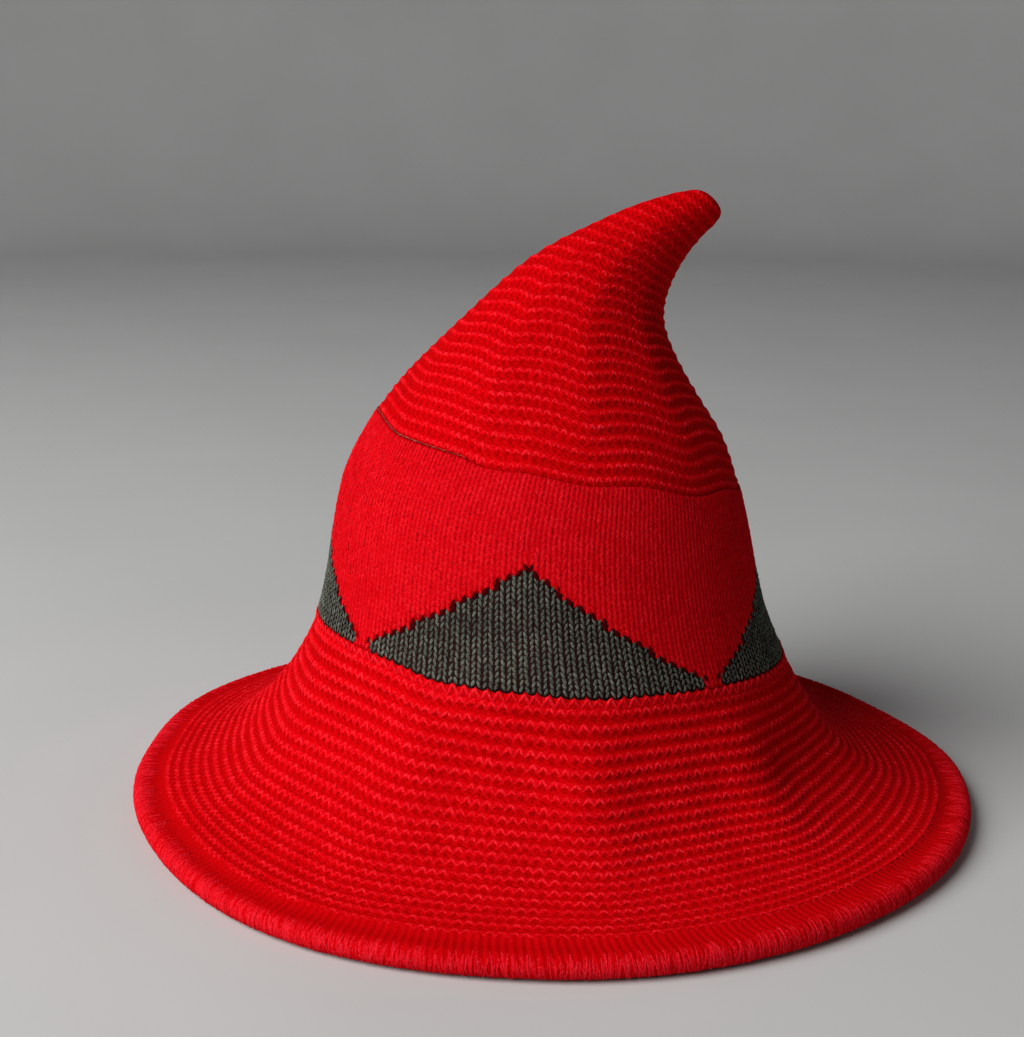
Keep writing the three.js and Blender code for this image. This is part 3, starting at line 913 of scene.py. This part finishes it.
# the rows of a panel only scale the yarn coordinates of its wall
panelSizes = dict(
    bandSizes, thick=0.125, flat=0.46, under=0.52, start=-0.22, end=1.0, sink=(0.34, 0, 0.06, 0.46),
    shadow=2.4, inset=1.6, levels=7, rows=17,
)
panelNames = ("panel_front", "panel_right", "panel_back", "panel_left")


# Length of cloth from the joint to the edge of a panel, at an angle from the middle of that panel.
def panelEdge(offset):
    return np.maximum(0, cloth["panelRise"] * (1 - np.abs(offset) / cloth["panelHalfWidth"]))


bandBottom = jointLength + cloth["seamGap"] / 2
bandTop = purlLength - cloth["seamGap"] / 2
panelTurns = cloth["panelTurn"] + 360 / cloth["panels"] * np.arange(cloth["panels"])


# Grid of a plain wall from one length of cloth to another: its outer rows upwards, then its inner ones
# downwards, with their coordinates along the yarn.
def plainRows(low, high, angle, sizes):
    share = np.linspace(0, 1, sizes["levels"])
    run = low + (high - low) * share[:, None]
    outer = clothPoint(run, angle, sizes["under"])
    inner = clothPoint(run, angle, sizes["wall"])
    u = np.concatenate([share, share[::-1], [0]]) * sizes["rows"]
    return np.concatenate([outer, inner[::-1]]), u


# Wall of the band, from a little past the edges of the panels, where their dark walls show as painted
# shade, to the upper seam.
def makeBandWall(sizes):
    corner = cloth["panelHalfWidth"]
    half = corner - sizes["inset"]
    offsets = np.concatenate([[-corner], np.linspace(-half, half, sizes["columns"]), [corner]])
    angle = (panelTurns[:, None] + offsets).ravel()
    rise = panelEdge(offsets)
    edge = bandBottom + np.tile(rise + sizes["shadow"] * (rise > 1), cloth["panels"])
    rows, u = plainRows(edge[None, :], bandTop, angle, sizes)
    wall = Pile()
    wall.addGrids(rows[None], u, np.arange(len(angle) + 1), plainTone, True, True)
    makePiece("band_wall", wall, redBandShaded, "red_plain", "band")


# Wall of a panel, near black as painted shade between and beside its stitches, from the joint to a little
# past its edges, with its two ends closed by quads between the outer and the inner rows.
def makePanelWall(name, turn, sizes):
    half = cloth["panelHalfWidth"] - sizes["inset"]
    offset = np.linspace(-half, half, sizes["columns"])
    edge = bandBottom + panelEdge(offset) + sizes["shadow"]
    rows, u = plainRows(bandBottom, edge[None, :], turn + offset, sizes)
    wall = Pile()
    index = wall.addGrids(rows[None], u, np.arange(len(offset)), plainTone, True, False)[0]
    levels = sizes["levels"]
    outer, inner = index[:levels], index[2 * levels - 1:levels - 1:-1]
    wall.addFaces(np.stack([outer[:-1, 0], outer[1:, 0], inner[1:, 0], inner[:-1, 0]], axis=-1))
    wall.addFaces(np.stack([outer[:-1, -1], inner[:-1, -1], inner[1:, -1], outer[1:, -1]], axis=-1))
    makePiece(name + "_wall", wall, greyShadeWall, "grey_plain", name)


# Stitches of the band and the panels, by row and wale, counted from the left end of each quarter.
# Those under the edge of a panel are grey.
def makeBand(sizes, greySizes):
    makeBandWall(sizes)
    row = (bandTop - bandBottom) / (sizes["rows"] + sizes["spareRow"])
    wale = 360 / sizes["wales"]
    quarter = sizes["wales"] // cloth["panels"]
    level, count = np.meshgrid(np.arange(sizes["rows"]), np.arange(sizes["wales"]), indexing="ij")
    place = count % quarter - quarter // 2
    half = np.floor(cloth["panelHalfWidth"] / wale * (1 - level * row / cloth["panelRise"])).astype(int)
    grey = np.abs(place) <= half
    length = bandBottom + (level + 0.5) * row
    turn = cloth["panelTurn"] + (count - quarter // 2) * wale
    width = roundAt(length)[..., radiusColumn] * math.radians(wale)
    tone = np.repeat(rng.uniform(0, 1, length.shape)[..., None], 2, axis=2)
    # the leg beside a panel is an edge stitch, dark with painted shade: the right one at its left, and the
    # left one at its right
    beside = (level > 0) & (half >= -1)
    tone[beside & (place == -half - 1), 1] = edgeShadeTone
    tone[beside & (place == half + 1), 0] = edgeShadeTone

    stitches = Pile()
    addLegs(stitches, length[~grey], turn[~grey], row, wale, width[~grey], sizes, tone[~grey])
    makePiece("band_stitches", stitches, redPlain, "red_plain", "band")
    for k, name in enumerate(panelNames):
        mine = grey & (count // quarter == k)
        stitches = Pile()
        addLegs(stitches, length[mine], turn[mine], row, wale, width[mine], greySizes, tone[mine])
        makePiece(name + "_stitches", stitches, greyYarn, "grey_plain", name)
        makePanelWall(name, panelTurns[k], greySizes)


makeBand(bandSizes, panelSizes)

# Rolled hem
hemSizes = {
    "radius": 166,
    "height": 9.6,
    "roll": 4.8,
    # radius and height of the points between the seam and the roll, and of those under it
    "dip": [[152.6, 11], [153.8, 10.4], [155, 9.9], [156.4, 9.6], [157.8, 9.5], [159.4, 9.58]],
    "foot": [[158.7, 0], [156.2, 0], [154.6, 1.2], [153.6, 3.2]],
    "arcPoints": 25,
    "columns": 600,
    "rows": 36,
    "first": 0.3,  # length along the outline of the first row
    "under": 0.5,  # how far the core lies under the outline
    "underSpread": 0.06,
    "clear": 0.3,  # least height over the floor
    "lift": 3.4,  # height of its innermost row over the end of the outline
    "ribs": 360,
    "yarnRows": 60,  # rows to one step of its yarn coordinate
}
strandSizes = {
    "count": 2400,
    "points": 8,
    "shift": (-0.3, 0.3),  # how far each is out of its place, in strands
    "before": (7.5, 14),  # length of outline before a strand and after it
    "after": (7, 13),
    "sideReach": 5,  # how much further in strands start at the sides of the hat
    "slant": 1.1,  # how far a strand swings to one side over the roll, in degrees
    "swing": (0.3, 0.6),  # middle and spread of its share of that
    "bend": 0.1,
    "bends": 5,
    "radius": 0.42,
    "bulk": (0.6, 1.1),
    "blunt": 0.06,  # share of the sine that its thickness leaves out at each end
    "taper": 0.5,
    "flat": 0.6,
    "depth": 0.42,
    "depthSpread": (-0.05, 0.2),
    "endSink": 0.3,
    "clear": 0.05,
    "tones": (-0.1, 0.6),
    "plies": 4,
}


# Outline of the hem, from the seam with the brim over the roll and under it, as radius and height.
def hemOutline(sizes):
    middle = sizes["radius"] - sizes["roll"]
    turn = np.radians(np.linspace(90, -90, sizes["arcPoints"]))
    rise = sizes["height"] / 2
    arc = np.stack([middle + sizes["roll"] * np.cos(turn), rise + rise * np.sin(turn)], axis=-1)
    return np.concatenate([sizes["dip"], arc, sizes["foot"]])


hemLine = hemOutline(hemSizes)
hemRuns = np.concatenate([[0], np.cumsum(np.linalg.norm(np.diff(hemLine, axis=0), axis=1))])


# Point of the hem: its outline at a length, carried round as the edge of the brim is.
def hemPoint(length, angle):
    sizes = np.broadcast_to(roundTable[0], np.shape(length) + roundTable[0].shape).copy()
    sizes[..., radiusColumn] = np.interp(length, hemRuns, hemLine[:, 0])
    sizes[..., zColumn] = np.interp(length, hemRuns, hemLine[:, 1])
    return roundPoint(sizes, angle)


# The outline runs outward, so the cross product of its slopes is turned over.
def hemFrame(length, angle):
    point, out = faceFrame(hemPoint, length, angle, 0, hemRuns[-1])
    return point, -out


# Core of the hem: its outline carried round, at an uneven depth under the strands, in a darker red as
# painted shade between them.
def makeHem(sizes):
    angle = evenAngles(sizes["columns"])
    run = np.linspace(sizes["first"], hemRuns[-1], sizes["rows"])
    point, out = hemFrame(run[:, None], angle[None, :])
    under = sizes["under"] + sizes["underSpread"] * rng.normal(0, 1, len(angle))
    skin = point - under[None, :, None] * out
    skin[..., 2] = np.maximum(skin[..., 2], sizes["clear"])
    inside = hemPoint(np.full((1, 1), hemRuns[-1]), angle[None, :]) + np.array([0, 0, sizes["lift"]])
    rows = np.concatenate([skin, inside])[::-1]
    # the plies of its yarn coordinates are fine ribs over the roll, bumped and painted with light and shade
    u = np.append(np.arange(len(rows)), 0) / sizes["yarnRows"]
    v = np.linspace(0, sizes["ribs"], sizes["columns"] + 1)
    core = Pile()
    core.addGrids(rows[None], u, v, plainTone, True, True)
    makePiece("hem_core", core, redHemShaded, "red_plain", "rolled_hem")


# Strands over the roll: each follows the outline with its own slant, and sinks in at both ends; their
# lighter, pinker red is a painted highlight.
def makeStrands(sizes):
    count = sizes["count"]
    t = np.linspace(0, 1, sizes["points"])
    turn = (np.arange(count) + rng.uniform(*sizes["shift"], count)) * 360 / count
    start = rng.uniform(*sizes["before"], count) - sizes["sideReach"] * np.sin(np.radians(turn)) ** 2
    end = hemRuns[-1] - rng.uniform(*sizes["after"], count)
    length = start[:, None] + (end - start)[:, None] * t
    swing = sizes["slant"] * rng.normal(*sizes["swing"], count)
    phase = rng.uniform(0, 2 * math.pi, count)
    bend = sizes["bend"] * np.sin(sizes["bends"] * t + phase[:, None])
    angle = turn[:, None] + swing[:, None] * t + bend
    bulk = sizes["radius"] * rng.uniform(*sizes["bulk"], count)[:, None]
    half = math.pi * (sizes["blunt"] + (1 - 2 * sizes["blunt"]) * t)
    radius = bulk * np.sin(half) ** sizes["taper"]
    point, out = hemFrame(length, angle)
    depth = sizes["depth"] + rng.uniform(*sizes["depthSpread"], count)[:, None]
    depth = depth + sizes["endSink"] * (2 * t - 1) ** 6
    centre = point - depth[..., None] * out
    rings = ringsAround(centre, np.gradient(centre, axis=1), out, radius, flat=sizes["flat"])
    rings[..., 2] = np.maximum(rings[..., 2], sizes["clear"])
    strands = Pile()
    strands.addBeads(rings, sizes["plies"] * t, rng.uniform(*sizes["tones"], count)[:, None, None])
    makePiece("hem_strands", strands, redFringeLit, "red_plain", "rolled_hem")


makeHem(hemSizes)
makeStrands(strandSizes)

# Stage
stageSizes = {
    "inner": (0, 0.5, 1.2),  # radii of the rings on its flat part
    "flat": 2.2,
    "reach": 3.0,
    "height": 1.0,
    "sweep": 13,  # rings of the part that sweeps up
    "columns": 96,
    "gap": 0.0001,  # between the floor and the hat
    "roughness": 0.8,
    "patchScale": 6,
    "colours": ((0.5, 0.5, 0.49), (0.56, 0.56, 0.55)),
}


# Round floor that sweeps up at its edge: flat out to a radius, then a quarter ellipse.
def makeStage(sizes):
    turn = np.radians(np.linspace(0, 90, sizes["sweep"]))
    sweep = sizes["flat"] + (sizes["reach"] - sizes["flat"]) * np.sin(turn)
    radius = np.concatenate([sizes["inner"], sweep])[:, None]
    level = np.zeros(len(sizes["inner"]))
    height = np.concatenate([level, sizes["height"] * (1 - np.cos(turn))])[:, None] - sizes["gap"]
    angle = np.radians(np.arange(sizes["columns"]) * 360 / sizes["columns"])
    points = np.stack(np.broadcast_arrays(radius * np.sin(angle), -radius * np.cos(angle), height), axis=-1)
    pile = Pile()
    pile.addGrids(points[None], np.arange(len(radius)), np.arange(len(angle) + 1), plainTone, False, True)
    mesh = bpy.data.meshes.new("floor")
    mesh.from_pydata(np.concatenate(pile.points).tolist(), [], np.concatenate(pile.faces).tolist())
    mesh.polygons.foreach_set("use_smooth", np.ones(len(mesh.polygons), bool))
    material, tree, shader = makeMaterial("floorPale", {"Roughness": sizes["roughness"]})
    patches = addNoise(tree, sizes["patchScale"], Detail=3)
    tree.links.new(addRamp(tree, patches, (0, 1), sizes["colours"]), shader.inputs["Base Color"])
    mesh.materials.append(material)
    floor = addObject("floor", mesh)
    floor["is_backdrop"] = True


makeStage(stageSizes)

# Lights: a large key from the upper left, weak ones from the right and from behind, and a dim sky.
# Each has a name, a place, a size and a power.
lightTable = [
    ("key", (-1.5, -1.03, 1.42), 1.9, 74),
    ("fill", (1.7, -1.3, 1.0), 1.6, 1),
    ("rim", (0.4, 1.6, 1.6), 1.2, 2),
]
lightAim = (0, 0, 0.1)
skySizes = {"colour": (0.9, 0.95, 1, 1), "strength": 0.05}


# Round area light facing the middle of the hat.
def makeLight(name, place, size, power):
    data = bpy.data.lights.new(name, "AREA")
    data.shape = "DISK"
    data.size = size
    data.energy = power
    back = unit(np.array(place) - np.array(lightAim))
    right = unit(np.cross([0, 0, 1.0], back))
    placeObject(addObject(name, data), right, np.cross(back, right), back, place)


for row in lightTable:
    makeLight(*row)
world = bpy.data.worlds.new("sky")
world.use_nodes = True
background = world.node_tree.nodes["Background"]
background.inputs["Color"].default_value = skySizes["colour"]
background.inputs["Strength"].default_value = skySizes["strength"]
bpy.context.scene.world = world
bpy.context.scene.view_settings.view_transform = "Standard"
print("stage and lights done")

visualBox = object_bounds()
boxes = {"cad": cadBox, "visual": visualBox}
boxes = {name: [[float(value) for value in corner] for corner in box] for name, box in boxes.items()}
